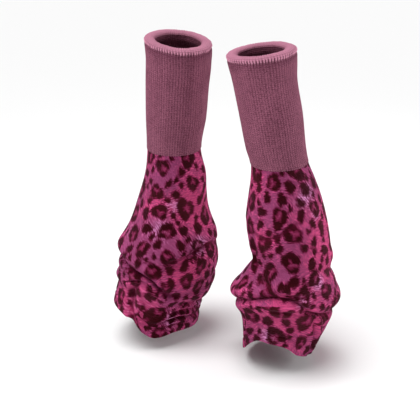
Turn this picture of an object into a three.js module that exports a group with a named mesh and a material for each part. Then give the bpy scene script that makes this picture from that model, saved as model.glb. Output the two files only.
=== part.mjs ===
// A pair of slouch leg warmers in the form they keep when worn: on each leg a rib-knit cuff with a
// rolled top edge, and a flared plush leg that slouches into soft folds over the ankle.
// Millimetres, +Z up, -Y the way the toes point, +X the wearer's left. The origin is midway between
// the two calves, at the middle of the cuffs.

import * as THREE from "three";

// Driving sizes of the rib-knit cuff. The knit is double, turned over at the top in a soft roll.
const cuff = {
  ribs: 72,
  ribDepth: 1.1,
  wall: 4.5,
  rollWide: 7.5, // half the roll's width, and half its height
  rollTall: 4.5,
  setBack: 1.5, // how far the tube stands back below the roll
  innerPoints: 36,
};

// Driving sizes of the plush leg.
const plush = {
  wall: 2.4,
  pointsAround: 52,
  seamGap: 0.4,
  setBack: 2.2, // how far the leg stands back below the cuff's edge
  creaseDown: 349,
  creaseSpread: 90,
  hemLength: 140, // the stretch above the hem that rides up with it
};

// Each leg's rings, from the crest of the roll down. x and y are a ring's centre, wide and deep its
// half sizes across the foot and along it, and pitch and roll its tilt in degrees, front edge and
// left edge down. toeOut turns a leg's rings towards the wearer's left. hem is how far the lower
// edge rides up over the shoe, by angle.
// A fold is a furrow whose line runs round the leg or down it. depth is how far the furrow goes in
// and reach its half width. The cloth beside it swells out by the swell share of depth, most of it
// above a round furrow or to the wearer's left of one that runs down, and hangs lower by the sag
// share.
const rightLeg = {
  name: "right",
  crest: 83,
  toeOut: -8,
  cuffLength: 162,
  rings: [
    { down: 0, x: -74, y: 11.5, wide: 48.3, deep: 49, pitch: 8.4, roll: 10.9 },
    { down: 34, x: -74.6, y: 11.5, wide: 48.8, deep: 48.8, pitch: 8, roll: 9.5 },
    { down: 64, x: -76.9, y: 11.5, wide: 47.8, deep: 47.8, pitch: 7.5, roll: 8 },
    { down: 114, x: -79.9, y: 11.5, wide: 46.4, deep: 46.4, pitch: 6, roll: 5 },
    { down: 162, x: -84.0, y: 11.5, wide: 42.8, deep: 43.0, pitch: 5, roll: 2.5 },
    { down: 200, x: -81, y: 9.5, wide: 48.1, deep: 49.2, pitch: 3, roll: 1 },
    { down: 250, x: -86.8, y: 7.5, wide: 56.5, deep: 60.3, pitch: 0, roll: 0 },
    { down: 276, x: -88.2, y: 6.5, wide: 64.2, deep: 70.3, pitch: 0, roll: 0 },
    { down: 302, x: -90, y: 4.5, wide: 75.6, deep: 80.5, pitch: 0, roll: 0 },
    { down: 329, x: -92.5, y: 3.5, wide: 77.5, deep: 83, pitch: 0, roll: 0 },
    { down: 356, x: -93, y: 2.5, wide: 76.5, deep: 82.5, pitch: 0, roll: 0 },
    { down: 384, x: -98.3, y: 1.5, wide: 76.5, deep: 83, pitch: 0, roll: 0 },
    { down: 414, x: -104.6, y: -1.5, wide: 65, deep: 75, pitch: 0, roll: 0 },
    { down: 460, x: -111, y: -5.5, wide: 63, deep: 78, pitch: 0, roll: 0 },
  ],
  hem: [
    { angle: -180, lift: 0 },
    { angle: -130, lift: 5 },
    { angle: -90, lift: 26 },
    { angle: -48, lift: 57 },
    { angle: 5, lift: 48 },
    { angle: 36, lift: 17 },
    { angle: 70, lift: 18 },
    { angle: 110, lift: 10 },
    { angle: 180, lift: 0 },
  ],
  folds: [
    {
      runs: "round", reach: 9.5, swell: 0.55, sag: 0.5,
      line: [
        { angle: -180, down: 345, depth: 6.5 },
        { angle: -150, down: 342, depth: 6.5 },
        { angle: -110, down: 330, depth: 7 },
        { angle: -50, down: 323, depth: 9 },
        { angle: -26, down: 326, depth: 9 },
        { angle: -10, down: 333, depth: 9 },
        { angle: 6, down: 339, depth: 9 },
        { angle: 20, down: 349, depth: 9 },
        { angle: 32, down: 364, depth: 8 },
        { angle: 46, down: 374, depth: 4.5 },
        { angle: 66, down: 379, depth: 2 },
        { angle: 90, down: 374, depth: 1.5 },
        { angle: 118, down: 359, depth: 3 },
        { angle: 150, down: 348, depth: 5.5 },
        { angle: 180, down: 345, depth: 6.5 },
      ],
    },
    {
      runs: "round", reach: 13, swell: 0.6, sag: 0.6,
      line: [
        { angle: 12, down: 338, depth: 0 },
        { angle: 42, down: 325, depth: 4 },
        { angle: 75, down: 304, depth: 5.5 },
        { angle: 111, down: 308, depth: 4.5 },
        { angle: 160, down: 306, depth: 0 },
      ],
    },
    {
      runs: "round", reach: 9, swell: 0.7, sag: 0.7,
      line: [
        { angle: 52, down: 392, depth: 0 },
        { angle: 78, down: 405, depth: 4.5 },
        { angle: 108, down: 412, depth: 5 },
        { angle: 150, down: 404, depth: 0 },
      ],
    },
    {
      runs: "round", reach: 6, swell: 0.7, sag: 0.4,
      line: [
        { angle: 30, down: 427, depth: 0 },
        { angle: 75, down: 435, depth: 3 },
        { angle: 112, down: 438, depth: 3 },
        { angle: 150, down: 440, depth: 0 },
      ],
    },
    {
      runs: "down", reach: 8, swell: 0.8, sag: 0,
      line: [
        { down: 356, angle: 14, depth: 0 },
        { down: 384, angle: 4, depth: 4.5 },
        { down: 428, angle: 4, depth: 6 },
        { down: 462, angle: 10, depth: 4 },
      ],
    },
    {
      runs: "round", reach: 9, swell: 0.6, sag: 0.7,
      line: [
        { angle: -172, down: 392, depth: 0 },
        { angle: -130, down: 386, depth: 5 },
        { angle: -92, down: 392, depth: 4 },
        { angle: -60, down: 400, depth: 0 },
      ],
    },
    {
      runs: "round", reach: 12, swell: 0.6, sag: 0.5,
      line: [
        { angle: 168, down: 296, depth: 0 },
        { angle: 200, down: 290, depth: 4 },
        { angle: 245, down: 284, depth: 0 },
      ],
    },
    {
      runs: "down", reach: 11, swell: 0.5, sag: 0,
      line: [
        { down: 168, angle: 84, depth: 0 },
        { down: 204, angle: 78, depth: 2.5 },
        { down: 266, angle: 64, depth: 0 },
      ],
    },
  ],
};

const leftLeg = {
  name: "left",
  crest: 77,
  toeOut: 12,
  cuffLength: 153,
  rings: [
    { down: 0, x: 63.8, y: -11.5, wide: 46.8, deep: 47.6, pitch: 8.8, roll: -4.3 },
    { down: 22, x: 67.8, y: -11.5, wide: 46.7, deep: 46.7, pitch: 10, roll: -1.5 },
    { down: 44, x: 71.5, y: -11.5, wide: 45, deep: 45, pitch: 9, roll: -1.5 },
    { down: 87, x: 80.8, y: -11.5, wide: 44.8, deep: 44.8, pitch: 7.5, roll: -1 },
    { down: 131, x: 89.1, y: -11.5, wide: 43.2, deep: 43.2, pitch: 6.5, roll: 0 },
    { down: 153, x: 94.9, y: -10.5, wide: 42.2, deep: 42.5, pitch: 6, roll: 0 },
    { down: 176, x: 100.7, y: -10.5, wide: 47, deep: 48, pitch: 4, roll: 0 },
    { down: 199, x: 104, y: -9.5, wide: 52.8, deep: 55, pitch: 2, roll: 0 },
    { down: 235, x: 107.3, y: -8.5, wide: 59.4, deep: 64, pitch: 0, roll: 0 },
    { down: 271, x: 113.4, y: -6.5, wide: 59.8, deep: 67.4, pitch: 0, roll: 0 },
    { down: 295, x: 118, y: -6.5, wide: 58.2, deep: 67.5, pitch: 0, roll: 0 },
    { down: 321, x: 111.8, y: -5.5, wide: 68.5, deep: 75, pitch: 0, roll: 0 },
    { down: 348, x: 106.5, y: -4.5, wide: 80, deep: 85.5, pitch: 0, roll: 0 },
    { down: 361, x: 105, y: -4.5, wide: 78, deep: 84, pitch: 0, roll: 0 },
    { down: 387, x: 108, y: -3.5, wide: 68, deep: 77.5, pitch: 0, roll: 0 },
    { down: 415, x: 105, y: -3.5, wide: 61.2, deep: 74, pitch: 0, roll: 0 },
    { down: 449, x: 98.8, y: -5.5, wide: 53.3, deep: 69, pitch: 0, roll: 0 },
  ],
  hem: [
    { angle: -180, lift: 0 },
    { angle: -110, lift: 0 },
    { angle: -72, lift: 11 },
    { angle: -27, lift: 45 },
    { angle: 0, lift: 46 },
    { angle: 25, lift: 39 },
    { angle: 46, lift: 22 },
    { angle: 80, lift: 8 },
    { angle: 180, lift: 0 },
  ],
  folds: [
    {
      runs: "round", reach: 10.5, swell: 0.55, sag: 0.35,
      line: [
        { angle: -180, down: 353, depth: 6.5 },
        { angle: -120, down: 362, depth: 7.5 },
        { angle: -76, down: 359, depth: 8.5 },
        { angle: -44, down: 350, depth: 8.5 },
        { angle: -25, down: 340, depth: 8.5 },
        { angle: -10, down: 332, depth: 8.5 },
        { angle: 8, down: 330, depth: 8 },
        { angle: 20, down: 337, depth: 6 },
        { angle: 32, down: 349, depth: 7 },
        { angle: 46, down: 358, depth: 8.5 },
        { angle: 66, down: 366, depth: 8.5 },
        { angle: 84, down: 365, depth: 8 },
        { angle: 120, down: 359, depth: 7 },
        { angle: 150, down: 349, depth: 7 },
        { angle: 180, down: 353, depth: 6.5 },
      ],
    },
    {
      runs: "round", reach: 8, swell: 0.5, sag: 0.5,
      line: [
        { angle: 0, down: 325, depth: 0 },
        { angle: 18, down: 324, depth: 3 },
        { angle: 34, down: 328, depth: 3 },
        { angle: 62, down: 337, depth: 0 },
      ],
    },
    {
      runs: "round", reach: 8, swell: 0.5, sag: 0.4,
      line: [
        { angle: -14, down: 359, depth: 0 },
        { angle: 6, down: 357, depth: 4 },
        { angle: 22, down: 360, depth: 3 },
        { angle: 40, down: 367, depth: 0 },
      ],
    },
    {
      runs: "down", reach: 9, swell: 0.5, sag: 0,
      line: [
        { down: 239, angle: -48, depth: 0 },
        { down: 267, angle: -52, depth: 5 },
        { down: 287, angle: -59, depth: 7 },
        { down: 307, angle: -56, depth: 5 },
        { down: 333, angle: -48, depth: 0 },
      ],
    },
    {
      runs: "down", reach: 6, swell: 0.7, sag: 0,
      line: [
        { down: 359, angle: 43, depth: 0 },
        { down: 388, angle: 50, depth: 3.5 },
        { down: 418, angle: 64, depth: 3.5 },
        { down: 451, angle: 74, depth: 2 },
      ],
    },
    {
      runs: "down", reach: 6, swell: 0.7, sag: 0,
      line: [
        { down: 369, angle: 66, depth: 0 },
        { down: 398, angle: 74, depth: 3 },
        { down: 431, angle: 90, depth: 0 },
      ],
    },
    {
      runs: "down", reach: 9, swell: 0.5, sag: 0,
      line: [
        { down: 365, angle: -32, depth: 0 },
        { down: 393, angle: -24, depth: 3 },
        { down: 433, angle: -34, depth: 0 },
      ],
    },
    {
      runs: "round", reach: 11, swell: 0.6, sag: 0.6,
      line: [
        { angle: 48, down: 299, depth: 0 },
        { angle: 87, down: 306, depth: 4 },
        { angle: 140, down: 303, depth: 4.5 },
        { angle: 205, down: 313, depth: 0 },
      ],
    },
    {
      runs: "round", reach: 9, swell: 0.6, sag: 0.6,
      line: [
        { angle: 120, down: 399, depth: 0 },
        { angle: 165, down: 389, depth: 4.5 },
        { angle: 225, down: 397, depth: 0 },
      ],
    },
  ],
};

// Reads a smooth curve through one column of a table, at a value of its key column.
function readTable(rows, key, column, value) {
  const last = rows.length - 1;
  if (value <= rows[0][key]) return rows[0][column];
  if (value >= rows[last][key]) return rows[last][column];
  const slopeAt = (k) => {
    const before = rows[Math.max(k - 1, 0)];
    const after = rows[Math.min(k + 1, last)];
    return (after[column] - before[column]) / (after[key] - before[key]);
  };
  const i = rows.findIndex((row) => row[key] > value) - 1;
  const step = rows[i + 1][key] - rows[i][key];
  const t = (value - rows[i][key]) / step;
  const ease = t * t * (3 - 2 * t);
  const leave = t * (1 - t) * (1 - t) * step * slopeAt(i);
  const arrive = t * t * (t - 1) * step * slopeAt(i + 1);
  return rows[i][column] * (1 - ease) + rows[i + 1][column] * ease + leave + arrive;
}

const smoothStep = (x) => THREE.MathUtils.smoothstep(x, 0, 1);
const bump = (x) => Math.exp(-x * x);
const wrap = (angle) => THREE.MathUtils.euclideanModulo(angle, 360);
const halfTurn = (angle) => wrap(angle + 180) - 180;

// How far a leg's folds move a point of its cloth: outwards, and up.
function foldAt(leg, down, angle, radius) {
  const moved = { out: 0, up: 0 };
  for (const fold of leg.folds) {
    const round = fold.runs === "round";
    const [key, across] = round ? ["angle", "down"] : ["down", "angle"];
    const [start, end] = [fold.line[0][key], fold.line[fold.line.length - 1][key]];
    const value = round ? start + wrap(angle - start) : down;
    if (value < start || value > end) continue;
    const line = readTable(fold.line, key, across, value);
    const depth = readTable(fold.line, key, "depth", value);
    const width = THREE.MathUtils.degToRad(halfTurn(line - angle)) * radius;
    const s = (round ? down - line : width) / fold.reach;
    const swell = fold.swell * (bump(s + 1.4) + 0.4 * bump(s - 1.5));
    moved.out += depth * (swell - bump(s));
    moved.up -= depth * fold.sag * bump(s + 0.8);
  }
  return moved;
}

// The leg's first fold is the slouch's main crease, which runs all the way round. The mesh's rings
// near it run along it.
function alongCrease(leg, down, angle) {
  const near = smoothStep(1 - Math.abs(down - plush.creaseDown) / plush.creaseSpread);
  const crease = readTable(leg.folds[0].line, "angle", "down", angle);
  return down + near * (crease - plush.creaseDown);
}

// A point of a leg's surface: down from the crest, angle in degrees from the toe line towards the
// wearer's left, and out from the ring.
function surfacePoint(leg, down, angle, out = 0) {
  const read = (column) => readTable(leg.rings, "down", column, down);
  const a = THREE.MathUtils.degToRad(angle);
  const [wide, deep] = [read("wide"), read("deep")];
  const fold = foldAt(leg, down, angle, (wide + deep) / 2);
  const outward = new THREE.Vector2(Math.sin(a) / wide, -Math.cos(a) / deep).normalize();
  const flat = new THREE.Vector2(wide * Math.sin(a), -deep * Math.cos(a));
  flat.addScaledVector(outward, out + fold.out);
  flat.rotateAround(new THREE.Vector2(), THREE.MathUtils.degToRad(leg.toeOut));
  const tilt = (column) => Math.tan(THREE.MathUtils.degToRad(read(column)));
  const hemDown = leg.rings[leg.rings.length - 1].down;
  const ride = smoothStep(1 - (hemDown - down) / plush.hemLength);
  const lift = ride * readTable(leg.hem, "angle", "lift", angle);
  const z = leg.crest - down + lift + fold.up + tilt("pitch") * flat.y - tilt("roll") * flat.x;
  return new THREE.Vector3(read("x") + flat.x, read("y") + flat.y, z);
}

const turn = (count, i) => (i / count) * 360 - 180;
const ringOf = (count, place) => Array.from({ length: count }, (_, i) => place(turn(count, i), i));

// A closed body from rings that go up the outside, over the top, down the inside and back.
// Neighbouring rings have the same number of points, or one has a whole multiple of the other's.
function bodyFromRings(rings) {
  const positions = rings.flat().flatMap((p) => p.toArray());
  const starts = [];
  let total = 0;
  for (const ring of rings) {
    starts.push(total);
    total += ring.length;
  }
  const triangles = [];
  rings.forEach((low, k) => {
    const next = (k + 1) % rings.length;
    const high = rings[next];
    const steps = Math.max(low.length, high.length);
    const [lowStep, highStep] = [steps / low.length, steps / high.length];
    const lowAt = (i) => starts[k] + (Math.round(i / lowStep) % low.length);
    const highAt = (i) => starts[next] + (Math.round(i / highStep) % high.length);
    for (let i = 0; i < steps; i++) {
      const [a, b, c, d] = [lowAt(i), lowAt(i + 1), highAt(i + 1), highAt(i)];
      if (a !== b) triangles.push(a, b, c);
      if (c !== d) triangles.push(a, c, d);
    }
  });
  const geometry = new THREE.BufferGeometry();
  geometry.setAttribute("position", new THREE.Float32BufferAttribute(positions, 3));
  geometry.setIndex(triangles);
  geometry.computeVertexNormals();
  return geometry;
}

// The rib-knit cuff: ribs raised outside and over the roll, and a plain inside.
function cuffGeometry(leg) {
  const rib = (i) => (i % 2 ? -0.5 : 0.5) * cuff.ribDepth;
  const count = cuff.ribs * 2;
  const tubeRing = (down) =>
    ringOf(count, (angle, i) => surfacePoint(leg, down, angle, rib(i) - cuff.setBack));
  const rollPoint = (turned, angle, raised) => {
    const t = THREE.MathUtils.degToRad(turned);
    const down = cuff.rollTall - (cuff.rollTall + raised) * Math.sin(t);
    return surfacePoint(leg, down, angle, (cuff.rollWide + raised) * Math.cos(t) - cuff.rollWide);
  };
  const rollRing = (turned) => ringOf(count, (angle, i) => rollPoint(turned, angle, rib(i)));
  const plainRing = (down) =>
    ringOf(cuff.innerPoints, (angle) => surfacePoint(leg, down, angle, -cuff.setBack - cuff.wall));
  return bodyFromRings([
    ...[1, 0.66, 0.36].map((part) => tubeRing(leg.cuffLength * part)),
    tubeRing(cuff.rollTall * 2.6),
    ...[0, 45, 90, 135].map(rollRing),
    ringOf(cuff.innerPoints, (angle) => rollPoint(180, angle, 0)),
    plainRing(cuff.rollTall * 3),
    ...[0.5, 1].map((part) => plainRing(leg.cuffLength * part)),
  ]);
}

// The heights of the plush leg's rings, closest together where the cloth folds.
function plushDowns(leg) {
  const hemDown = leg.rings[leg.rings.length - 1].down;
  const stretches = [
    { from: leg.cuffLength + plush.seamGap, bands: 6 },
    { from: hemDown * 0.6, bands: 17 },
    { from: hemDown * 0.88, bands: 6 },
  ];
  const downs = stretches.flatMap(({ from, bands }, k) => {
    const to = k + 1 < stretches.length ? stretches[k + 1].from : hemDown;
    return Array.from({ length: bands }, (_, i) => from + ((to - from) * i) / bands);
  });
  return [...downs, hemDown];
}

// The inside of the cloth, one wall's thickness in: level along the cuff's seam, and along the
// surface's normal below it.
function insidePoint(leg, down, angle) {
  if (down < leg.cuffLength + 1) return surfacePoint(leg, down, angle, -plush.setBack - plush.wall);
  const nudge = 0.5;
  const here = surfacePoint(leg, down, angle, -plush.setBack);
  const below = surfacePoint(leg, down + nudge, angle, -plush.setBack);
  const above = surfacePoint(leg, down - nudge, angle, -plush.setBack);
  const ahead = surfacePoint(leg, down, angle + nudge, -plush.setBack);
  const behind = surfacePoint(leg, down, angle - nudge, -plush.setBack);
  const normal = above.sub(below).cross(behind.sub(ahead)).normalize();
  return here.addScaledVector(normal, -plush.wall);
}

// The plush leg: one wall that follows the leg's rings and folds.
function plushGeometry(leg) {
  const rows = (place) =>
    plushDowns(leg).map((down) =>
      ringOf(plush.pointsAround, (angle) => place(leg, alongCrease(leg, down, angle), angle)),
    );
  const outside = rows((...at) => surfacePoint(...at, -plush.setBack));
  const inside = rows(insidePoint);
  return bodyFromRings([...outside.reverse(), ...inside]);
}

const ribKnit = new THREE.MeshStandardMaterial({ color: 0xc77a98, roughness: 0.95 });
const printedPlush = new THREE.MeshStandardMaterial({ color: 0x9c3a6e, roughness: 0.9 });

const legWarmers = new THREE.Group();
for (const leg of [rightLeg, leftLeg]) {
  const knitCuff = new THREE.Mesh(cuffGeometry(leg), ribKnit.clone());
  knitCuff.name = `${leg.name}_rib_cuff`;
  const plushLeg = new THREE.Mesh(plushGeometry(leg), printedPlush.clone());
  plushLeg.name = `${leg.name}_plush_leg`;
  legWarmers.add(knitCuff, plushLeg);
}

export default legWarmers;
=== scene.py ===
import bpy
import numpy as np
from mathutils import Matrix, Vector


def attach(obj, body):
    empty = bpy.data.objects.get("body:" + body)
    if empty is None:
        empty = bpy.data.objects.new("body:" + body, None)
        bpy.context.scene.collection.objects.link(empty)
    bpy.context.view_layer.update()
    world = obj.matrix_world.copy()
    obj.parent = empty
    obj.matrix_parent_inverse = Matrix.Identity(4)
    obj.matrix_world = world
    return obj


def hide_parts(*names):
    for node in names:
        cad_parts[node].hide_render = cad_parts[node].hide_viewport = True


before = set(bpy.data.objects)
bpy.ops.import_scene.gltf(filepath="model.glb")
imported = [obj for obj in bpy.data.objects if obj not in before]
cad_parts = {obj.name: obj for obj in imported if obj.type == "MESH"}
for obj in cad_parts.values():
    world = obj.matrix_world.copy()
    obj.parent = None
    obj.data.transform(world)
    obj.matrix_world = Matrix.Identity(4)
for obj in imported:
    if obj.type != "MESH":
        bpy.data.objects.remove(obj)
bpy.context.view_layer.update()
scene = bpy.context.scene
mm = 0.001  # the cloth's tables are in millimetres and degrees
uvLength = 100  # millimetres of cloth to one unit of its UV map
bpy.ops.object.select_all(action="DESELECT")


# Camera, floor and light

studio = {  # millimetres and degrees, but the floor's size and the lamps' distance in metres
    "target": (-16.5, -2.5, -165), "azimuth": 26, "elevation": 18, "distance": 1140,
    "focal": 65.14, "sensor": 36, "floor": -385, "floorSize": 40, "floorRoughness": 0.9,
    "floorColour": (0.94, 0.94, 0.94, 1), "world": 0.2, "lampDistance": 1.5,
}


def towards(azimuth, elevation):
    a, e = np.radians((azimuth, elevation))
    return Vector((np.sin(a) * np.cos(e), -np.cos(a) * np.cos(e), np.sin(e)))


target = Vector(studio["target"]) * mm
back = towards(studio["azimuth"], studio["elevation"])
camera = bpy.data.objects.new("camera", bpy.data.cameras.new("camera"))
camera.data.lens = studio["focal"]
camera.data.sensor_width = studio["sensor"]
camera.location = target + back * studio["distance"] * mm
camera.rotation_euler = back.to_track_quat("Z", "Y").to_euler()
scene.collection.objects.link(camera)
scene.camera = camera

lamps = {  # a sun's size is an angle in radians, an area lamp's a width in metres
    "overhead": {"kind": "SUN", "azimuth": -30, "elevation": 74, "size": 0.8, "power": 2.7},
    "key": {"kind": "AREA", "azimuth": -60, "elevation": 30, "size": 0.6, "power": 4.5},
    "fill": {"kind": "AREA", "azimuth": 128, "elevation": 12, "size": 0.6, "power": 10},
}
for name, lamp in lamps.items():
    light = bpy.data.lights.new(name, lamp["kind"])
    light.energy = lamp["power"]
    if lamp["kind"] == "SUN":
        light.angle = lamp["size"]
    else:
        light.size = lamp["size"]
    holder = bpy.data.objects.new(name, light)
    way = towards(lamp["azimuth"], lamp["elevation"])
    holder.location = target + way * studio["lampDistance"]
    holder.rotation_euler = way.to_track_quat("Z", "Y").to_euler()
    scene.collection.objects.link(holder)

scene.view_settings.view_transform = "Standard"


# Shader maths

matt = {"roughness": 0.95, "specular": 0.05, "sheenRoughness": 0.45}  # all the cloth


def paint(code):  # a screen colour as a shader takes it
    parts = [int(code[i:i + 2], 16) / 255 for i in (1, 3, 5)]
    return (*[c / 12.92 if c < 0.04045 else ((c + 0.055) / 1.055) ** 2.4 for c in parts], 1.0)


class Value:  # one output of a node, with arithmetic
    def __init__(self, shader, socket):
        self.shader, self.socket = shader, socket

    def maths(self, operation, *others):
        return self.shader.node("ShaderNodeMath", {"operation": operation},
                                dict(enumerate((self, *others))))

    def __add__(self, other):
        return self.maths("ADD", other)

    def __mul__(self, other):
        return self.maths("MULTIPLY", other)

    def __sub__(self, other):
        return self.maths("SUBTRACT", other)

    def __rsub__(self, other):
        return self.shader.node("ShaderNodeMath", {"operation": "SUBTRACT"}, {0: other, 1: self})

    __radd__ = __add__
    __rmul__ = __mul__


class Shader:  # the nodes of one material, or of the world
    def __init__(self, owner):
        self.owner = owner
        owner.use_nodes = True
        self.tree = owner.node_tree
        self.tree.nodes.clear()

    def node(self, kind, settings=None, sockets=None, output=0):
        made = self.tree.nodes.new(kind)
        for name, value in (settings or {}).items():
            setattr(made, name, value)
        for name, value in (sockets or {}).items():
            if isinstance(value, Value):
                self.tree.links.new(value.socket, made.inputs[name])
            else:
                made.inputs[name].default_value = value
        return made if output is None else Value(self, made.outputs[output])

    def mix(self, amount, low, high):
        return self.node("ShaderNodeMix", {"data_type": "RGBA"}, {0: amount, 6: low, 7: high}, 2)

    def ramp(self, value, low, high):  # 0 below low, 1 above high, eased between
        return self.node("ShaderNodeMapRange", {"interpolation_type": "SMOOTHSTEP"},
                         {0: value, 1: low, 2: high, 3: 0.0, 4: 1.0})

    def attribute(self, name):
        return self.node("ShaderNodeAttribute", {"attribute_name": name}, output=2)

    def vector(self, operation, first, second):
        return self.node("ShaderNodeVectorMath", {"operation": operation}, {0: first, 1: second})

    def place(self, stretch=(1, 1, 1)):  # the object's own coordinates
        return self.vector("MULTIPLY", self.node("ShaderNodeTexCoord", output=3), stretch)

    def noise(self, where, scale, detail=2.0, rough=0.5):
        return self.node("ShaderNodeTexNoise", {},
                         {"Vector": where, "Scale": scale, "Detail": detail, "Roughness": rough})

    def surface(self, colour, height, rise, sheen, tint):  # cloth, with its grain as relief
        relief = self.node("ShaderNodeBump", {}, {
            "Strength": 1.0, "Distance": rise, "Height": height})
        shade = self.node("ShaderNodeBsdfPrincipled", {}, {
            "Base Color": colour, "Roughness": matt["roughness"], "Normal": relief,
            "Specular IOR Level": matt["specular"], "Sheen Weight": sheen,
            "Sheen Roughness": matt["sheenRoughness"], "Sheen Tint": tint})
        return self.finish(shade)

    def finish(self, shade, kind="ShaderNodeOutputMaterial"):
        self.node(kind, {}, {"Surface": shade}, None)
        return self.owner


sky = Shader(bpy.data.worlds.new("studio"))
strength = sky.node("ShaderNodeLightPath").maths("MAXIMUM", studio["world"])  # full for the camera
white = sky.node("ShaderNodeBackground", {}, {"Color": (1, 1, 1, 1), "Strength": strength})
scene.world = sky.finish(white, "ShaderNodeOutputWorld")
floorShader = Shader(bpy.data.materials.new("pale_floor"))
pale = floorShader.finish(floorShader.node("ShaderNodeBsdfPrincipled", {}, {
    "Base Color": studio["floorColour"], "Roughness": studio["floorRoughness"],
    "Specular IOR Level": 0.0}))
bpy.ops.mesh.primitive_plane_add(size=studio["floorSize"], location=(0, 0, studio["floor"] * mm))
floor = bpy.context.object
floor.name = "floor"
floor.data.materials.append(pale)
print("studio ready")


# Cloth form, as in the solids. A ring's down is measured from the crest of the cuff's roll, and
# angles run from the toe line, at -Y, towards +X.

def table(columns, *rows):
    return dict(zip(columns.split(), np.array(rows, float).T))


def fold(runs, reach, swell, sag, *rows):
    columns = "angle down depth" if runs == "round" else "down angle depth"
    return {"runs": runs, "reach": reach, "swell": swell, "sag": sag,
            "line": table(columns, *rows)}


ringColumns = "down x y wide deep pitch roll"
rightLeg = {
    "name": "right", "crest": 83, "toeOut": -8, "cuffLength": 162, "seed": 11,
    "rings": table(
        ringColumns,
        (0, -74, 11.5, 48.3, 49, 8.4, 10.9),
        (34, -74.6, 11.5, 48.8, 48.8, 8, 9.5),
        (64, -76.9, 11.5, 47.8, 47.8, 7.5, 8),
        (114, -79.9, 11.5, 46.4, 46.4, 6, 5),
        (162, -84, 11.5, 42.8, 43, 5, 2.5),
        (200, -81, 9.5, 48.1, 49.2, 3, 1),
        (250, -86.8, 7.5, 56.5, 60.3, 0, 0),
        (276, -88.2, 6.5, 64.2, 70.3, 0, 0),
        (302, -90, 4.5, 75.6, 80.5, 0, 0),
        (329, -92.5, 3.5, 77.5, 83, 0, 0),
        (356, -93, 2.5, 76.5, 82.5, 0, 0),
        (384, -98.3, 1.5, 76.5, 83, 0, 0),
        (414, -104.6, -1.5, 65, 75, 0, 0),
        (460, -111, -5.5, 63, 78, 0, 0)),
    "hem": table(
        "angle lift", (-180, 0), (-130, 5), (-90, 26), (-48, 57), (5, 48), (36, 17), (70, 18),
        (110, 10), (180, 0)),
    "folds": [
        fold("round", 9.5, 0.55, 0.5, (-180, 345, 6.5), (-150, 342, 6.5), (-110, 330, 7),
             (-50, 323, 9), (-26, 326, 9), (-10, 333, 9), (6, 339, 9), (20, 349, 9), (32, 364, 8),
             (46, 374, 4.5), (66, 379, 2), (90, 374, 1.5), (118, 359, 3), (150, 348, 5.5),
             (180, 345, 6.5)),
        fold("round", 13, 0.6, 0.6, (12, 338, 0), (42, 325, 4), (75, 304, 5.5), (111, 308, 4.5),
             (160, 306, 0)),
        fold("round", 9, 0.7, 0.7, (52, 392, 0), (78, 405, 4.5), (108, 412, 5), (150, 404, 0)),
        fold("round", 6, 0.7, 0.4, (30, 427, 0), (75, 435, 3), (112, 438, 3), (150, 440, 0)),
        fold("down", 8, 0.8, 0, (356, 14, 0), (384, 4, 4.5), (428, 4, 6), (462, 10, 4)),
        fold("round", 9, 0.6, 0.7, (-172, 392, 0), (-130, 386, 5), (-92, 392, 4), (-60, 400, 0)),
        fold("round", 12, 0.6, 0.5, (168, 296, 0), (200, 290, 4), (245, 284, 0)),
        fold("down", 11, 0.5, 0, (168, 84, 0), (204, 78, 2.5), (266, 64, 0)),
    ],
    "creases": [
        fold("round", 5, 0.8, 0.25, (-30, 350, 0), (-12, 340, 3.4), (5, 343, 4.4), (21, 353, 4.4),
             (28, 365, 4.4), (38, 374, 3.4), (56, 380, 0)),
        fold("round", 4.2, 0.9, 0.1, (-18, 386, 0), (-10, 374, 2.4), (-2, 363, 3), (8, 357, 3),
             (16, 363, 3), (24, 371, 2.4), (34, 384, 0)),
        fold("down", 4, 0.9, 0, (330, 20, 0), (340, 26, 2.4), (350, 33, 3), (366, 30, 2.4),
             (376, 24, 0)),
        fold("down", 4, 1.2, 0, (360, 10, 0), (372, 4, 2.4), (396, 0, 2.6), (432, 2, 0)),
        fold("down", 4.5, 0.8, 0, (422, -10, 0), (440, 2, 2.4), (456, 14, 2), (462, 18, 1)),
        fold("round", 3.5, 1.0, 0.3, (20, 446, 0), (46, 436, 2.6), (66, 433, 3.2), (92, 438, 2.8),
             (126, 444, 0)),
        fold("round", 3, 1.0, 0.3, (40, 450, 0), (60, 445, 2.2), (80, 449, 2.2), (104, 454, 0)),
        fold("round", 3.4, 1.0, 0.3, (44, 424, 0), (70, 420, 2.6), (104, 426, 2.4), (146, 430, 0)),
        fold("round", 4, 0.8, 0.5, (30, 321, 0), (42, 313, 2.4), (57, 309, 3.2), (70, 305, 3.2),
             (87, 298, 2.4), (106, 292, 0)),
        fold("round", 6, 0.7, 0.4, (70, 310, 0), (92, 300, 2.4), (118, 310, 2.4), (136, 322, 0)),
        fold("round", 5, 0.7, 0.4, (-78, 340, 0), (-52, 337, 1.8), (-30, 342, 1.6), (-12, 346, 0)),
        fold("down", 6, 0.6, 0, (180, 126, 0), (204, 110, 1.4), (240, 92, 0)),
        fold("down", 7, 0.6, 0, (188, -22, 0), (226, -30, 1.2), (276, -34, 0)),
        fold("round", 5, 0.8, 0.5, (-168, 366, 0), (-140, 360, 2.4), (-104, 364, 2), (-76, 370, 0)),
        fold("round", 4, 0.9, 0.4, (150, 370, 0), (176, 364, 2.2), (204, 368, 2.2), (226, 376, 0)),
        fold("round", 5, 0.8, 0.4, (138, 424, 0), (166, 416, 2.2), (196, 420, 2), (232, 414, 0)),
        fold("down", 6, 0.7, 0, (210, 160, 0), (250, 172, 1.6), (290, 168, 0)),
        fold("down", 5, 0.8, 0, (400, -66, 0), (428, -58, 2), (456, -64, 1)),
        fold("down", 5, 0.8, 0, (412, -118, 0), (436, -112, 1.8), (460, -118, 1)),
        fold("down", 6, 0.8, 0, (408, 186, 0), (434, 192, 1.6), (462, 186, 1)),
    ],
}
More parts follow.
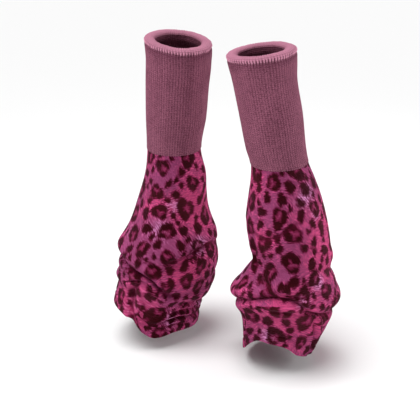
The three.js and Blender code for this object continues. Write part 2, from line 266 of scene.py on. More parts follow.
leftLeg = {
    "name": "left", "crest": 77, "toeOut": 12, "cuffLength": 153, "seed": 29,
    "rings": table(
        ringColumns,
        (0, 63.8, -11.5, 46.8, 47.6, 8.8, -4.3),
        (22, 67.8, -11.5, 46.7, 46.7, 10, -1.5),
        (44, 71.5, -11.5, 45, 45, 9, -1.5),
        (87, 80.8, -11.5, 44.8, 44.8, 7.5, -1),
        (131, 89.1, -11.5, 43.2, 43.2, 6.5, 0),
        (153, 94.9, -10.5, 42.2, 42.5, 6, 0),
        (176, 100.7, -10.5, 47, 48, 4, 0),
        (199, 104, -9.5, 52.8, 55, 2, 0),
        (235, 107.3, -8.5, 59.4, 64, 0, 0),
        (271, 113.4, -6.5, 59.8, 67.4, 0, 0),
        (295, 118, -6.5, 58.2, 67.5, 0, 0),
        (321, 111.8, -5.5, 68.5, 75, 0, 0),
        (348, 106.5, -4.5, 80, 85.5, 0, 0),
        (361, 105, -4.5, 78, 84, 0, 0),
        (387, 108, -3.5, 68, 77.5, 0, 0),
        (415, 105, -3.5, 61.2, 74, 0, 0),
        (449, 98.8, -5.5, 53.3, 69, 0, 0)),
    "hem": table(
        "angle lift", (-180, 0), (-110, 0), (-72, 11), (-27, 45), (0, 46), (25, 39), (46, 22),
        (80, 8), (180, 0)),
    "folds": [
        fold("round", 10.5, 0.55, 0.35, (-180, 353, 6.5), (-120, 362, 7.5), (-76, 359, 8.5),
             (-44, 350, 8.5), (-25, 340, 8.5), (-10, 332, 8.5), (8, 330, 8), (20, 337, 6),
             (32, 349, 7), (46, 358, 8.5), (66, 366, 8.5), (84, 365, 8), (120, 359, 7),
             (150, 349, 7), (180, 353, 6.5)),
        fold("round", 8, 0.5, 0.5, (0, 325, 0), (18, 324, 3), (34, 328, 3), (62, 337, 0)),
        fold("round", 8, 0.5, 0.4, (-14, 359, 0), (6, 357, 4), (22, 360, 3), (40, 367, 0)),
        fold("down", 9, 0.5, 0, (239, -48, 0), (267, -52, 5), (287, -59, 7), (307, -56, 5),
             (333, -48, 0)),
        fold("down", 6, 0.7, 0, (359, 43, 0), (388, 50, 3.5), (418, 64, 3.5), (451, 74, 2)),
        fold("down", 6, 0.7, 0, (369, 66, 0), (398, 74, 3), (431, 90, 0)),
        fold("down", 9, 0.5, 0, (365, -32, 0), (393, -24, 3), (433, -34, 0)),
        fold("round", 11, 0.6, 0.6, (48, 299, 0), (87, 306, 4), (140, 303, 4.5), (205, 313, 0)),
        fold("round", 9, 0.6, 0.6, (120, 399, 0), (165, 389, 4.5), (225, 397, 0)),
    ],
    "creases": [
        fold("round", 4, 0.8, 0.5, (-10, 321, 0), (10, 319, 2.4), (24, 326, 3), (40, 337, 0)),
        fold("round", 4, 0.9, 0.6, (-8, 329, 0), (10, 331, 2.4), (24, 337, 3), (38, 351, 2.4),
             (60, 361, 0)),
        fold("round", 4, 0.9, 0.5, (18, 347, 0), (38, 357, 2.4), (62, 365, 3), (84, 372, 2),
             (104, 369, 0)),
        fold("round", 4, 0.9, 0.4, (40, 367, 0), (66, 372, 2.2), (94, 375, 2), (120, 369, 0)),
        fold("down", 4, 1.0, 0, (265, -52, 0), (281, -60, 3), (299, -62, 3), (315, -46, 0)),
        fold("round", 6, 0.7, 0.4, (-52, 306, 0), (-34, 311, 2), (-20, 314, 2), (-4, 311, 0)),
        fold("down", 3.5, 1.0, 0, (369, 46, 0), (389, 51, 2), (417, 64, 2), (443, 72, 1)),
        fold("down", 3.5, 1.0, 0, (371, 56, 0), (395, 68, 2), (423, 84, 1.6), (447, 94, 0)),
        fold("down", 4, 1.0, 0, (379, -58, 0), (401, -54, 2), (429, -57, 1.6), (449, -60, 0)),
        fold("down", 5, 0.8, 0, (303, -74, 0), (325, -70, 1.8), (345, -60, 0)),
        fold("down", 7, 0.6, 0, (183, 40, 0), (225, 26, 1.6), (279, 10, 0)),
        fold("round", 5.5, 0.7, 0.4, (-84, 240, 0), (-55, 241, 1.8), (-26, 248, 2.8), (-2, 240, 2.6),
             (16, 228, 1.6), (32, 221, 0)),
        fold("down", 6, 0.6, 0, (199, -30, 0), (229, -36, 1.2), (265, -34, 0)),
        fold("round", 6, 0.7, 0.4, (62, 287, 0), (88, 293, 2), (116, 289, 0)),
        fold("round", 5, 0.8, 0.4, (-150, 375, 0), (-120, 380, 2.2), (-92, 377, 2), (-70, 373, 0)),
        fold("round", 5, 0.8, 0.5, (-158, 333, 0), (-128, 337, 2.2), (-98, 331, 0)),
        fold("round", 4, 0.9, 0.4, (150, 369, 0), (180, 375, 2.4), (206, 369, 2), (226, 363, 0)),
        fold("down", 6, 0.7, 0, (209, 170, 0), (253, 176, 1.6), (293, 170, 0)),
        fold("down", 5, 0.8, 0, (401, 148, 0), (427, 142, 1.8), (449, 148, 1)),
        fold("down", 5, 0.8, 0, (399, -112, 0), (423, -106, 1.8), (449, -110, 1)),
    ],
}
hemLength = 140  # how far above the hem its arch begins to lift the cloth
foldShape = {"above": 1.4, "below": 1.5, "belowShare": 0.4, "sagAbove": 0.8}  # in a fold's reach
fineFolds = {"deep": 0.9, "broad": 1.15}
# the fold and crease depths at which their painted shade is full, and its shares
foldShadeDepths = {"fold": 8, "foldShare": 0.6, "crease": 2.2, "creaseShare": 0.7}
unevenShape = {
    "height": 0.22, "drift": 1.7, "seedStep": 100,
    "waves": ((2, 90), (3, 60), (5, 42), (4, 130), (7, 34)),  # times round, and millimetres down
}


def readTable(rows, key, column, value):  # a smooth curve through a table's column
    at, read = rows[key], rows[column]
    value = np.clip(value, at[0], at[-1])
    place = np.arange(len(at))
    low, high = np.maximum(place - 1, 0), np.minimum(place + 1, len(at) - 1)
    slope = (read[high] - read[low]) / (at[high] - at[low])
    i = np.clip(np.searchsorted(at, value, side="right") - 1, 0, len(at) - 2)
    step = at[i + 1] - at[i]
    t = (value - at[i]) / step
    ease = t * t * (3 - 2 * t)
    bend = t * (1 - t) ** 2 * slope[i] + t * t * (t - 1) * slope[i + 1]
    return read[i] * (1 - ease) + read[i + 1] * ease + step * bend


def smooth(x):
    x = np.clip(x, 0, 1)
    return x * x * (3 - 2 * x)


def bump(x):
    return np.exp(-x * x)


def foldAt(folds, down, angle, radius, deep=1, broad=1):  # how far folds move cloth out and up
    out = np.zeros(np.broadcast(down, angle).shape)
    up = out.copy()
    for one in folds:
        isRound = one["runs"] == "round"
        key, across = ("angle", "down") if isRound else ("down", "angle")
        line = one["line"]
        start, end = line[key][0], line[key][-1]
        value = start + np.mod(angle - start, 360) if isRound else down
        path = readTable(line, key, across, value)
        depth = deep * readTable(line, key, "depth", value) * ((value >= start) & (value <= end))
        width = np.radians(np.mod(path - angle + 180, 360) - 180) * radius
        s = (down - path if isRound else width) / (one["reach"] * broad)
        ridges = bump(s + foldShape["above"]) + foldShape["belowShare"] * bump(s - foldShape["below"])
        out += depth * (one["swell"] * ridges - bump(s))
        up -= depth * one["sag"] * bump(s + foldShape["sagAbove"])
    return out, up


def unevenness(leg, down, angle):  # soft waviness, up to about a millimetre high
    draw = np.random.default_rng(leg["seed"] + unevenShape["seedStep"])
    total = 0
    for around, along in unevenShape["waves"]:
        phase = draw.uniform(0, 2 * np.pi, 2)
        total = total + np.sin(around * np.radians(angle) + phase[0] + down / along) * np.cos(
            down / along * unevenShape["drift"] + phase[1])
    return total * unevenShape["height"]


def surfacePoint(leg, down, angle, out, creased):
    rings = leg["rings"]
    wide, deep = (readTable(rings, "down", side, down) for side in ("wide", "deep"))
    radius = (wide + deep) / 2
    foldOut, foldUp = foldAt(leg["folds"], down, angle, radius)
    if creased:
        fineOut, fineUp = foldAt(leg["creases"], down, angle, radius, **fineFolds)
        foldOut, foldUp = foldOut + fineOut, foldUp + fineUp
    a = np.radians(angle)
    outX, outY = np.sin(a) / wide, -np.cos(a) / deep
    length = np.hypot(outX, outY)
    moved = out + foldOut + unevenness(leg, down, angle)
    x = wide * np.sin(a) + outX / length * moved
    y = -deep * np.cos(a) + outY / length * moved
    turned = np.radians(leg["toeOut"])
    flatX = x * np.cos(turned) - y * np.sin(turned)
    flatY = x * np.sin(turned) + y * np.cos(turned)
    hemShare = smooth(1 - (rings["down"][-1] - down) / hemLength)
    lift = hemShare * readTable(leg["hem"], "angle", "lift", angle)
    pitch, roll = (np.tan(np.radians(readTable(rings, "down", side, down)))
                   for side in ("pitch", "roll"))
    z = leg["crest"] - down + lift + foldUp + pitch * flatY - roll * flatX
    centreX, centreY = (readTable(rings, "down", side, down) for side in "xy")
    return np.stack([centreX + flatX, centreY + flatY, z], -1)


def foldShadeAt(leg, down, angle):  # how deep in a fold the cloth lies, from 0 up, for the painted shade in folds and creases
    rings = leg["rings"]
    radius = (readTable(rings, "down", "wide", down) + readTable(rings, "down", "deep", down)) / 2
    coarse = foldAt(leg["folds"], down, angle, radius)[0]
    fine = foldAt(leg["creases"], down, angle, radius)[0]
    return (np.clip(-coarse / foldShadeDepths["fold"], 0, 1) * foldShadeDepths["foldShare"]
            + np.clip(-fine / foldShadeDepths["crease"], 0, 1) * foldShadeDepths["creaseShare"])


def gridNormals(points):  # outward normals of rings that are listed from the bottom up
    around = np.roll(points, -1, 1) - np.roll(points, 1, 1)
    along = np.gradient(points, axis=0)
    normals = np.cross(around, along)
    return normals / np.linalg.norm(normals, axis=-1, keepdims=True)


def clothMesh(name, rings, along, materials, inside, facts):
    # rings: a closed section of the wall, up the outside and down the inside; along: each ring's
    # place on that section in mm; inside: which rings show the cloth's back
    count, around = rings.shape[:2]
    i, j = np.meshgrid(np.arange(count), np.arange(around), indexing="ij")
    nextI, nextJ = (i + 1) % count, (j + 1) % around
    faces = np.stack([i * around + j, i * around + nextJ, nextI * around + nextJ,
                      nextI * around + j], -1).reshape(-1, 4)
    mesh = bpy.data.meshes.new(name)
    mesh.vertices.add(count * around)
    mesh.vertices.foreach_set("co", (rings * mm).astype(np.float32).ravel())
    mesh.loops.add(faces.size)
    mesh.loops.foreach_set("vertex_index", faces.astype(np.int32).ravel())
    mesh.polygons.add(len(faces))
    mesh.polygons.foreach_set("loop_start", np.arange(0, faces.size, 4, dtype=np.int32))
    mesh.update(calc_edges=True)
    for material in materials:
        mesh.materials.append(material)
    mesh.polygons.foreach_set("material_index", inside[i].astype(np.int32).ravel())
    section = np.append(along, 2 * along[-1] - along[-2])
    u = np.stack([j, j + 1, j + 1, j], -1) / around
    v = np.stack([section[i], section[i], section[i + 1], section[i + 1]], -1) / uvLength
    mesh.uv_layers.new(name="cloth")
    mesh.uv_layers["cloth"].data.foreach_set("uv", np.stack([u, v], -1).astype(np.float32).ravel())
    for label, values in facts.items():
        mesh.attributes.new(label, "FLOAT", "POINT")
        mesh.attributes[label].data.foreach_set("value", values.astype(np.float32).ravel())
    mesh.shade_smooth()
    piece = bpy.data.objects.new(name, mesh)
    scene.collection.objects.link(piece)
    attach(piece, "root")
    return piece


# Rib-knit cuffs

cuff = {
    "ribs": 72, "pointsPerRib": 6, "ribDepth": 1.4, "wall": 4.5, "setBack": 1.5,
    "edgeRings": 5, "tubeRings": 72, "rollRings": 25, "throatRings": 44,
    "edgeRadius": 1.6, "lipUp": 0.3, "lipIn": (0.2, 0.9),  # the lower edge
    "rollWide": 7.5, "rollTall": 4.5, "rollTurn": (-36, 200),  # half its sizes, and its arc
    "flare": 1.6, "flareDown": 26,  # the tube widens up to the roll
    "groove": 1.3, "grooveDown": 3.5, "grooveClear": 2.2,  # and is drawn in right below it
    "throatWide": 1.9, "throatTall": 2.2, "throatDown": 16,  # below the roll, on the inside
    "tubeBold": 0.5, "rollBold": 0.8, "throatBold": 0.3, "edgeBold": (0.1, 0.7),  # ribs' height
    "tickBold": 1.0, "tickAt": -10, "tickTurn": 34, "boldBlend": 5,  # ribs' ends under the roll
    "ribSizes": (0.75, 1.15), "ribLean": 0.12, "ribRound": 0.7, "ribLevel": 0.6,
    "wander": ((0.8, 23, 1), (0.5, 9, 0)),  # size, millimetres down and share of the seed
    "lumps": ((0.5, 3, 1), (0.35, 7, 2)), "lumpDown": 16,  # size, times round, share of the seed
    "wornSpread": 0.7, "beadAt": -12, "beadTurn": 26, "shadeDown": 7,
    "cutRadius": 46, "cutOverRoll": 34,
}
yarn = {
    # besides the yarn's two tones: a painted highlight for the roll's top, a painted highlight for the
    # rib ends under the roll, and a painted shade for the gaps between them and under the roll
    "light": paint("#a5647b"), "dark": paint("#6c3a4c"), "worn": paint("#dc96b0"),
    "bead": paint("#f0a6c2"), "gap": paint("#5c2b40"),
    "row": 2.7, "slant": 6.0, "grain": 520.0, "drift": 30.0,
    "ribLight": 0.42, "stitchLight": 0.36, "grainLight": 1.5, "driftLight": 0.5, "fullLight": 0.85,
    "wornShare": 0.7, "beadShare": 0.85, "beadRib": (0.45, 0.85), "gapRib": (0.2, 0.6),
    "shadeShare": 0.5, "stitchRise": 0.7, "grainRise": 0.9, "rise": 0.0008,
    "sheen": 0.1, "sheenTint": (1, 0.55, 0.7, 1),
}


def knitMaterial():
    shader = Shader(bpy.data.materials.new("rib_knit"))
    uv = {"Vector": shader.node("ShaderNodeUVMap", {"uv_map": "cloth"})}
    u = shader.node("ShaderNodeSeparateXYZ", {}, uv, 0) * cuff["ribs"]
    v = shader.node("ShaderNodeSeparateXYZ", {}, uv, 1)
    across = (u.maths("FRACT") - 0.5).maths("ABSOLUTE")  # 0.5 on a rib, 0 in a furrow
    row = v * (uvLength / yarn["row"] * 2 * np.pi) + across * yarn["slant"]
    stitch = row.maths("SINE") * 0.5 + 0.5
    place = shader.place()
    grain = shader.noise(place, yarn["grain"], 2.0, 0.6)
    drift = shader.noise(place, yarn["drift"], 3.0, 0.5)
    rib = shader.attribute("rib")
    # painted light and shade: rib ridges and stitch loops are painted lighter and the furrows between
    # ribs darker; grain and drift are the yarn's own uneven tone
    lit = (rib * yarn["ribLight"] + stitch * yarn["stitchLight"]
           + (grain - 0.5) * yarn["grainLight"] + (drift - 0.5) * yarn["driftLight"])
    colour = shader.mix(shader.ramp(lit, 0.0, yarn["fullLight"]), yarn["dark"], yarn["light"])
    # painted highlight: the top of the roll is painted lighter, where light from above falls on it
    colour = shader.mix(shader.attribute("worn") * yarn["wornShare"], colour, yarn["worn"])
    # painted highlight on the rib ends under the roll, and painted shade in the gaps between them
    bead = shader.attribute("bead")
    onRib = shader.ramp(rib, *yarn["beadRib"])
    colour = shader.mix(bead * onRib * yarn["beadShare"], colour, yarn["bead"])
    offRib = 1 - shader.ramp(rib, *yarn["gapRib"])
    colour = shader.mix(bead * offRib * yarn["beadShare"], colour, yarn["gap"])
    colour = shader.mix(shader.attribute("shade") * yarn["shadeShare"], colour, yarn["gap"])
    height = stitch * yarn["stitchRise"] + grain * yarn["grainRise"]
    return shader.surface(colour, height, yarn["rise"], yarn["sheen"], yarn["sheenTint"])


def cuffSection(length):  # the wall cut through, as its lower edge, tube, roll, throat and lip
    wide, tall, back, edge = (cuff[key] for key in ("rollWide", "rollTall", "setBack", "edgeRadius"))
    inner = -back - cuff["wall"]
    neck = tall * (1 - np.sin(np.radians(cuff["rollTurn"][0])))  # where the roll leaves the tube
    lower = np.radians(np.linspace(-90, 0, cuff["edgeRings"], endpoint=False))
    tube = np.linspace(length - edge, neck + cuff["grooveClear"], cuff["tubeRings"])
    flare = cuff["flare"] * (1 - smooth((tube - neck) / cuff["flareDown"]))
    groove = cuff["groove"] * (1 - smooth((tube - neck) / cuff["grooveDown"]))
    turn = np.radians(np.linspace(*cuff["rollTurn"], cuff["rollRings"]))
    throatTop = tall * cuff["throatTall"]
    throat = np.linspace(throatTop, length - edge, cuff["throatRings"])
    narrow = smooth((throat - throatTop) / cuff["throatDown"])
    parts = (
        (length - edge - edge * np.sin(lower), -back - edge + edge * np.cos(lower)),
        (tube, -back + flare - groove),
        (tall - tall * np.sin(turn), wide * (np.cos(turn) - 1)),
        (throat, -cuff["throatWide"] * wide * (1 - narrow) + inner * narrow),
        ([length - edge * cuff["lipUp"], length], [inner + step for step in cuff["lipIn"]]),
    )
    return parts, neck


def cuffPiece(leg, material):
    length, seed = leg["cuffLength"], leg["seed"]
    parts, neck = cuffSection(length)
    section = np.concatenate([np.stack(part, 1) for part in parts])
    sizes = [len(part[0]) for part in parts]
    onTube, onRoll, inThroat = (np.repeat(np.arange(len(parts)) == k, sizes) for k in (1, 2, 3))
    turn = np.linspace(*cuff["rollTurn"], cuff["rollRings"])
    ahead = np.gradient(section, axis=0)
    ahead /= np.linalg.norm(ahead, axis=1, keepdims=True)
    outward = np.stack([ahead[:, 1], -ahead[:, 0]], 1)
    bold = onTube * cuff["tubeBold"] + onRoll * cuff["rollBold"] + inThroat * cuff["throatBold"]
    bold[onRoll] += cuff["tickBold"] * bump((turn - cuff["tickAt"]) / cuff["tickTurn"])
    bold[:sizes[0]] = np.linspace(*cuff["edgeBold"], sizes[0])
    blend = cuff["boldBlend"]
    bold = np.convolve(np.pad(bold, blend // 2, "edge"), np.ones(blend) / blend, "valid")
    count = cuff["ribs"] * cuff["pointsPerRib"]
    angle = np.arange(count) / count * 360 - 180
    a = np.radians(angle)
    draw = np.random.default_rng(seed)
    uneven = np.repeat(draw.uniform(*cuff["ribSizes"], cuff["ribs"]), cuff["pointsPerRib"])
    wander = sum(size * np.sin(section[:, :1] / along + share * seed)
                 for size, along, share in cuff["wander"])
    ridge = np.abs(np.cos(a * cuff["ribs"] / 2 + wander * cuff["ribLean"])) ** cuff["ribRound"] * uneven
    raised = (ridge - cuff["ribLevel"]) * cuff["ribDepth"] * bold[:, None]
    lumps = sum(size * np.sin(a * times + share * seed) for size, times, share in cuff["lumps"])
    nearRim = smooth(1 - (section[:, :1] - cuff["rollTall"]) / cuff["lumpDown"])
    down = section[:, :1] + outward[:, :1] * raised
    out = section[:, 1:] + outward[:, 1:] * raised + lumps * nearRim
    rings = surfacePoint(leg, down, angle[None], out, False)
    along = np.append(0, np.cumsum(np.linalg.norm(np.diff(section, axis=0), axis=1)))
    overRoll = np.clip((along - along[onRoll][0]) / np.ptp(along[onRoll]), 0, 1)
    # painted highlight over the top of the roll
    worn = onRoll[:, None] * np.sin(overRoll * np.pi)[:, None] ** cuff["wornSpread"] * np.ones(count)
    bead, shade = np.zeros(worn.shape), np.zeros(worn.shape)
    # where the rib ends under the roll get their painted highlight and painted gap shade
    bead[onRoll] = bump((turn - cuff["beadAt"]) / cuff["beadTurn"])[:, None]
    shade[onTube] = bump((section[onTube, :1] - neck) / cuff["shadeDown"])
    piece = clothMesh(leg["name"] + "_knit_cuff", rings, along, [material],
                      np.zeros(len(rings), int),
                      {"rib": np.broadcast_to(ridge, worn.shape), "worn": worn, "bead": bead,
                       "shade": shade})
    flat = (2 * np.pi * cuff["cutRadius"] * mm, (length + cuff["cutOverRoll"]) * mm)
    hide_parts(leg["name"] + "_rib_cuff")
    return piece


knit = knitMaterial()
for leg in (rightLeg, leftLeg):
    cuffPiece(leg, knit)
print("cuffs knitted")


# Plush legs

plush = {
    "around": 320, "rows": 210, "wall": 2.4, "setBack": 2.2, "insideStep": 3,
    "tuck": 0.6,  # how far the leg reaches up into the cuff's rounded edge
    "hemDeep": 15, "hemOut": 0.7, "hemWall": 0.8, "hemEase": 2,
    "stitchDeep": 1.3, "stitchAbove": 1.2, "stitchWide": 1.4,
    "seamDeep": 1.4, "seamWide": 1.6, "seamRadius": 55, "rimTurns": (150, 120, 90, 60, 30),
}
nap = {
    "pink": paint("#e0518a"), "purple": paint("#a84c7d"), "lilac": paint("#eea2dc"),
    "root": paint("#72274a"), "halo": paint("#640e2f"), "spot": paint("#300307"),
    "heart": paint("#902851"), "tan": paint("#561d25"),
    "round": 380, "swirlScale": 0.03, "swirl": 16.0,  # one turn of the cloth, in millimetres
    "level": ((6, 1.9, 12.0), (-6, 1.0, 7.0)),  # hairs' turn in degrees, thickness and length
    "slanting": ((-48, 1.9, 12.0), (-58, 1.0, 7.0)),
    "wayPatch": 11.0, "wayPink": 0.15, "wayEdge": (0.46, 0.54), "furEdge": (0.38, 0.62),
    "patch": 17.0, "mottle": 260.0, "spotFur": 2.7, "spotMottle": 1.8,
    "pinkFur": 0.3, "pinkPatch": 0.45, "pinkEdge": (0.5, 0.95), "rootShare": 0.5,
    "shineFur": 0.6, "shinePatch": 0.7, "shineDrift": 0.4, "shineEdge": (0.72, 1.3),
    "shineShare": 0.8, "heartShare": 0.95, "heartMottle": 0.5,
    "haloWide": 2.6, "heartHalo": 2.5, "haloShare": 0.85,
    "tanPink": 0.45, "tanFur": 0.15, "spotEdge": (-1.9, 0.8), "spotShare": 0.97,
    "foldShadeShare": 0.65, "rise": 0.0008, "sheen": 0.1, "sheenTint": (1.0, 0.35, 0.65, 1),
}
backing = {
    "light": paint("#b87890"), "dark": paint("#8c4a66"), "stretch": (1, 1, 0.6),
    "loops": 900.0, "patch": 25.0, "loopShare": 0.6, "patchShare": 0.3,
    "rise": 0.0004, "sheen": 0.15, "sheenTint": (1, 0.8, 0.9, 1),
}
spotKinds = (
    {"ring": True, "radius": (10.5, 15.0), "gap": 4.6, "stretch": (1.0, 1.3), "tries": 230},
    {"ring": False, "radius": (5.2, 8.8), "gap": 3.6, "stretch": (1.0, 1.7), "tries": 4000},
    {"ring": False, "radius": (3.4, 4.8), "gap": 2.8, "stretch": (1.0, 1.7), "tries": 5000},
)
spotShape = {
    "far": 30.0, "search": 34, "facing": 0.1, "lean": 0.5, "blend": 1.2,
    "ringHalf": (0.29, 0.35), "ringThick": 0.88, "heart": 1.6,
    "ringWaves": ((0.12, 2), (0.07, 3)),  # a wave's size, and times round the spot
    "thickWaves": ((0.42, 1), (0.38, 3), (0.16, 5)), "solidWaves": ((0.12, 2), (0.09, 3), (0.05, 5)),
}


def wavy(level, turn, phases, waves):
    for phase, (size, times) in zip(phases, waves):
        level = level + size * np.cos(times * turn + phase)
    return level


def spotEdge(kind, radius, x, y, draw):  # distance to one spot's edge in mm, and its heart
    turn, far = np.arctan2(y, x), np.hypot(x, y)
    phases = draw.uniform(0, 2 * np.pi, 5)
    if not kind["ring"]:
        return far - radius * wavy(1, turn, phases, spotShape["solidWaves"]), 0
    half = radius * draw.uniform(*spotShape["ringHalf"])
    middle = (radius - half) * wavy(1, turn, phases, spotShape["ringWaves"])
    thick = half * wavy(spotShape["ringThick"], turn, phases[2:], spotShape["thickWaves"])
    return np.abs(far - middle) - thick, smooth(spotShape["heart"] - far / middle)


def leopardSpots(leg, points, normals):  # distance to the nearest spot's edge in mm, and hearts
    draw = np.random.default_rng(leg["seed"])
    edge = np.full(len(points), spotShape["far"])
    heart = np.zeros(len(points))
    centres, sizes = np.zeros((0, 3)), np.zeros(0)
    blend = spotShape["blend"]
    for kind in spotKinds:
        for i in draw.integers(0, len(points), kind["tries"]):
            radius = draw.uniform(*kind["radius"])
            apart = np.linalg.norm(centres - points[i], axis=1) - sizes - radius
            if len(apart) and apart.min() < kind["gap"]:
                continue
            centres = np.vstack([centres, points[i]])
            sizes = np.append(sizes, radius)
            isClose = np.linalg.norm(points - points[i], axis=1) < spotShape["search"]
            near = np.flatnonzero(isClose & (normals @ normals[i] > spotShape["facing"]))
            across = np.cross((0, 0, 1), normals[i])
            across /= np.linalg.norm(across)
            upward = np.cross(normals[i], across)
            lean = draw.normal(0, spotShape["lean"])
            along = upward * np.cos(lean) + across * np.sin(lean)
            side = np.cross(along, normals[i])
            offset = points[near] - points[i]
            stretch = np.sqrt(draw.uniform(*kind["stretch"]))
            distance, inner = spotEdge(kind, radius, offset @ side * stretch,
                                       offset @ along / stretch, draw)
            heart[near] = np.maximum(heart[near], inner)
            edge[near] = -blend * np.logaddexp(-edge[near] / blend, -distance / blend)
    return edge, heart


def plushMaterial():
    shader = Shader(bpy.data.materials.new("leopard_plush"))
    uv = shader.node("ShaderNodeUVMap", {"uv_map": "cloth"})
    flat = shader.vector("MULTIPLY", uv, (nap["round"], uvLength, 1))
    swirl = shader.node("ShaderNodeTexNoise", {}, {"Vector": flat, "Scale": nap["swirlScale"]}, 1)
    flat = shader.vector("ADD", flat, shader.vector("MULTIPLY", swirl, [nap["swirl"]] * 3))

    def hair(turned, thick, long):  # streaks of fur, turned from level
        lying = shader.node("ShaderNodeVectorRotate", {"rotation_type": "Z_AXIS"}, {
            "Vector": flat, "Angle": np.radians(-turned)})
        return shader.noise(shader.vector("MULTIPLY", lying, (1 / long, 1 / thick, 1)), 1.0, 2.0, 0.55)

    level, slanting = (hair(*coarse) * 0.5 + hair(*fine) * 0.5
                       for coarse, fine in (nap["level"], nap["slanting"]))
    place = shader.place()
    patch = shader.noise(place, nap["patch"], 3.0, 0.55)
    pink, inner = shader.attribute("pink"), shader.attribute("heart")
    way = shader.noise(place, nap["wayPatch"], 1.0, 0.5) + pink * nap["wayPink"]
    way = shader.ramp(way, *nap["wayEdge"])
    fur = shader.ramp(level * way + slanting * (1 - way), *nap["furEdge"])
    mottle = shader.noise(place, nap["mottle"], 2.0, 0.6)
    # pinker: partly the cloth's own dyed tone, partly painted light where the lit side shows pinker
    pinker = shader.ramp(patch + fur * nap["pinkFur"] + pink * nap["pinkPatch"], *nap["pinkEdge"])
    colour = shader.mix(pinker, nap["purple"], nap["pink"])
    colour = shader.mix((1 - fur) * nap["rootShare"], colour, nap["root"])
    # painted highlight: a lilac sheen painted along the hair streaks and in patches
    shine = (fur * nap["shineFur"] + shader.attribute("shine") * nap["shinePatch"]
             + patch * nap["shineDrift"])
    shine = shader.ramp(shine, *nap["shineEdge"])
    colour = shader.mix(shine * nap["shineShare"], colour, nap["lilac"])
    heartShare = nap["heartShare"] - mottle * nap["heartMottle"]
    colour = shader.mix(inner * heartShare, colour, nap["heart"])
    edge = (shader.attribute("edge") + (fur - 0.5) * nap["spotFur"]
            + (mottle - 0.5) * nap["spotMottle"])
    halo = 1 - shader.ramp(edge, 0.0, nap["haloWide"] + inner * nap["heartHalo"])
    colour = shader.mix(halo * nap["haloShare"], colour, nap["halo"])
    # spots are painted browner and lighter where the pink patches lie, as painted sheen of the lit side,
    # and along the printed hair streaks
    dark = shader.mix(pink * nap["tanPink"] + fur * nap["tanFur"], nap["spot"], nap["tan"])
    onSpot = 1 - shader.ramp(edge, *nap["spotEdge"])
    colour = shader.mix(onSpot * nap["spotShare"], colour, dark)
    # painted shade: the cloth is painted darker in folds and creases, where shade falls
    foldShade = shader.ramp(shader.attribute("foldShade"), 0.0, 1.0)
    colour = shader.mix(foldShade * nap["foldShadeShare"], colour, nap["halo"])
    return shader.surface(colour, fur, nap["rise"], nap["sheen"], nap["sheenTint"])


def backMaterial():
    shader = Shader(bpy.data.materials.new("plush_back"))
    where = shader.place(backing["stretch"])
    loops = shader.noise(where, backing["loops"], 2.0, 0.5)
    patch = shader.noise(where, backing["patch"], 2.0, 0.5)
    darker = loops * backing["loopShare"] + patch * backing["patchShare"]
    colour = shader.mix(darker, backing["light"], backing["dark"])
    return shader.surface(colour, loops, backing["rise"], backing["sheen"], backing["sheenTint"])


# Where the nap is pinker, partly its own dyed tone and partly painted light on the lit sides, and where
# a painted sheen highlight lies bright and lilac
patchColumns = "angle down reach pink shine"
pinkAndShinePatches = {
    "right": table(
        patchColumns, (62, 235, 26, 0.9, 0), (94, 250, 26, 0.8, 0), (55, 336, 30, 1.1, 0),
        (12, 425, 32, 1.3, 0.25), (8, 235, 20, 0.6, 0), (76, 296, 15, -0.2, 1), (22, 268, 17, -0.4, 0.5),
        (-30, 284, 12, 0, 0.45), (40, 236, 12, 0, 0.7), (56, 436, 14, -0.2, 0.6), (0, 300, 30, -0.4, 0),
        (-60, 350, 30, -0.3, 0.3), (14, 288, 34, -0.7, 0), (44, 300, 30, -0.6, 0),
        (44, 396, 28, -0.6, 0), (-10, 340, 30, -0.5, 0), (150, 240, 30, 0.8, 0), (-140, 300, 34, 0.8, 0),
        (180, 380, 40, 0.7, 0), (140, 330, 16, 0, 0.9), (-165, 250, 15, 0, 0.8),
        (-110, 400, 16, 0, 0.8), (110, 420, 14, 0, 0.8)),
    "left": table(
        patchColumns, (84, 235, 30, 1.1, 0), (76, 290, 26, 0.9, 0), (10, 365, 26, 1.0, 0),
        (32, 385, 24, 0.8, 0), (60, 396, 24, 0.8, 0), (-26, 250, 18, 0.7, 0), (-52, 172, 18, 0.7, 0),
        (56, 183, 12, -0.2, 0.9), (49, 310, 12, -0.2, 0.9), (27, 331, 12, 0, 0.8),
        (-6, 438, 14, -0.2, 0.9), (38, 194, 12, 0, 0.7), (58, 215, 10, 0, 0.7),
        (-88, 318, 20, -0.2, 0.7), (4, 285, 28, -0.4, 0), (-10, 205, 24, -0.3, 0),
        (150, 230, 34, 0.8, 0), (-150, 300, 34, 0.8, 0), (170, 400, 36, 0.8, 0),
        (130, 330, 15, 0, 0.9), (-130, 220, 15, 0, 0.8), (-160, 410, 14, 0, 0.8)),
}


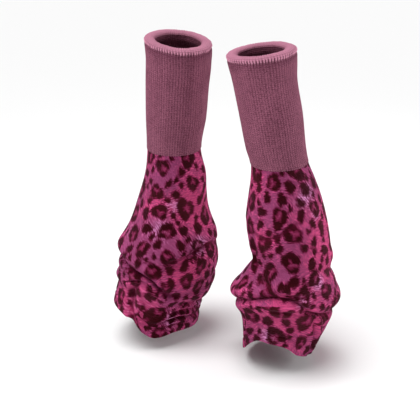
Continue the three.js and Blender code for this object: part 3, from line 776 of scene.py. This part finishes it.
def plushPiece(leg, outside, inside):
    name = leg["name"] + "_leopard_leg"
    around = plush["around"]
    angle = (np.arange(around) / around * 360 - 180)[None]
    hemDown = leg["rings"]["down"][-1]
    down = np.linspace(hemDown, leg["cuffLength"] - plush["tuck"], plush["rows"])[:, None]
    aboveHem = hemDown - down - plush["hemDeep"]
    onHem = smooth(1 - aboveHem / plush["hemEase"])
    stitches = bump((aboveHem - plush["stitchAbove"]) / plush["stitchWide"])
    fromSeam = np.radians(np.mod(angle + 360, 360) - 180) * plush["seamRadius"]
    sewn = (plush["hemOut"] * onHem - plush["stitchDeep"] * stitches
            - plush["seamDeep"] * bump(fromSeam / plush["seamWide"]))
    outer = surfacePoint(leg, down, angle, sewn - plush["setBack"], True)
    normals = gridNormals(outer)
    wall = plush["wall"] + plush["hemWall"] * onHem
    inner = (outer - normals * wall[..., None])[::-plush["insideStep"]]
    inner[0] = outer[-1] - normals[-1] * plush["wall"]
    inner[-1] = outer[0] - normals[0] * wall[0]
    hemWay = outer[0] - outer[1]
    hemWay /= np.linalg.norm(hemWay, axis=-1, keepdims=True)
    middle, half = (outer[0] + inner[-1]) / 2, (outer[0] - inner[-1]) / 2
    rim = [middle + half * np.cos(t) + hemWay * wall[0] / 2 * np.sin(t)
           for t in np.radians(plush["rimTurns"])]
    rings = np.concatenate([outer, inner, rim])
    rows = len(outer)
    steps = np.linalg.norm(np.diff(rings, axis=0), axis=-1).mean(1)
    along = np.append(0, np.cumsum(steps))
    edge, heart = leopardSpots(leg, outer.reshape(-1, 3), normals.reshape(-1, 3))
    facts = {label: np.zeros(rings.shape[:2])
             for label in ("edge", "heart", "pink", "shine", "foldShade")}
    facts["edge"][:] = spotShape["far"]
    facts["edge"][:rows] = edge.reshape(rows, around)
    facts["edge"][-len(rim):] = facts["edge"][0]
    facts["heart"][:rows] = heart.reshape(rows, around)
    # the depth of the folds, for the painted shade in them
    facts["foldShade"][:rows] = foldShadeAt(leg, down, angle)
    patches = pinkAndShinePatches[leg["name"]]
    centres = surfacePoint(leg, patches["down"], patches["angle"], 0, False)
    for centre, reach, pinker, brighter in zip(
            centres, *(patches[column] for column in ("reach", "pink", "shine"))):
        near = bump(np.linalg.norm(rings[:rows] - centre, axis=-1) / reach)
        # pink patches: partly the cloth's own dyed tone, partly painted light on the lit sides
        facts["pink"][:rows] += pinker * near
        # painted sheen highlight patches
        facts["shine"][:rows] += brighter * near
    isInside = np.zeros(len(rings), int)
    isInside[rows:rows + len(inner) - 1] = 1
    piece = clothMesh(name, rings, along, [outside, inside], isInside, facts)
    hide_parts(leg["name"] + "_plush_leg")
    return piece


printed, plain = plushMaterial(), backMaterial()
for leg in (rightLeg, leftLeg):
    plushPiece(leg, printed, plain)
print("legs sewn")
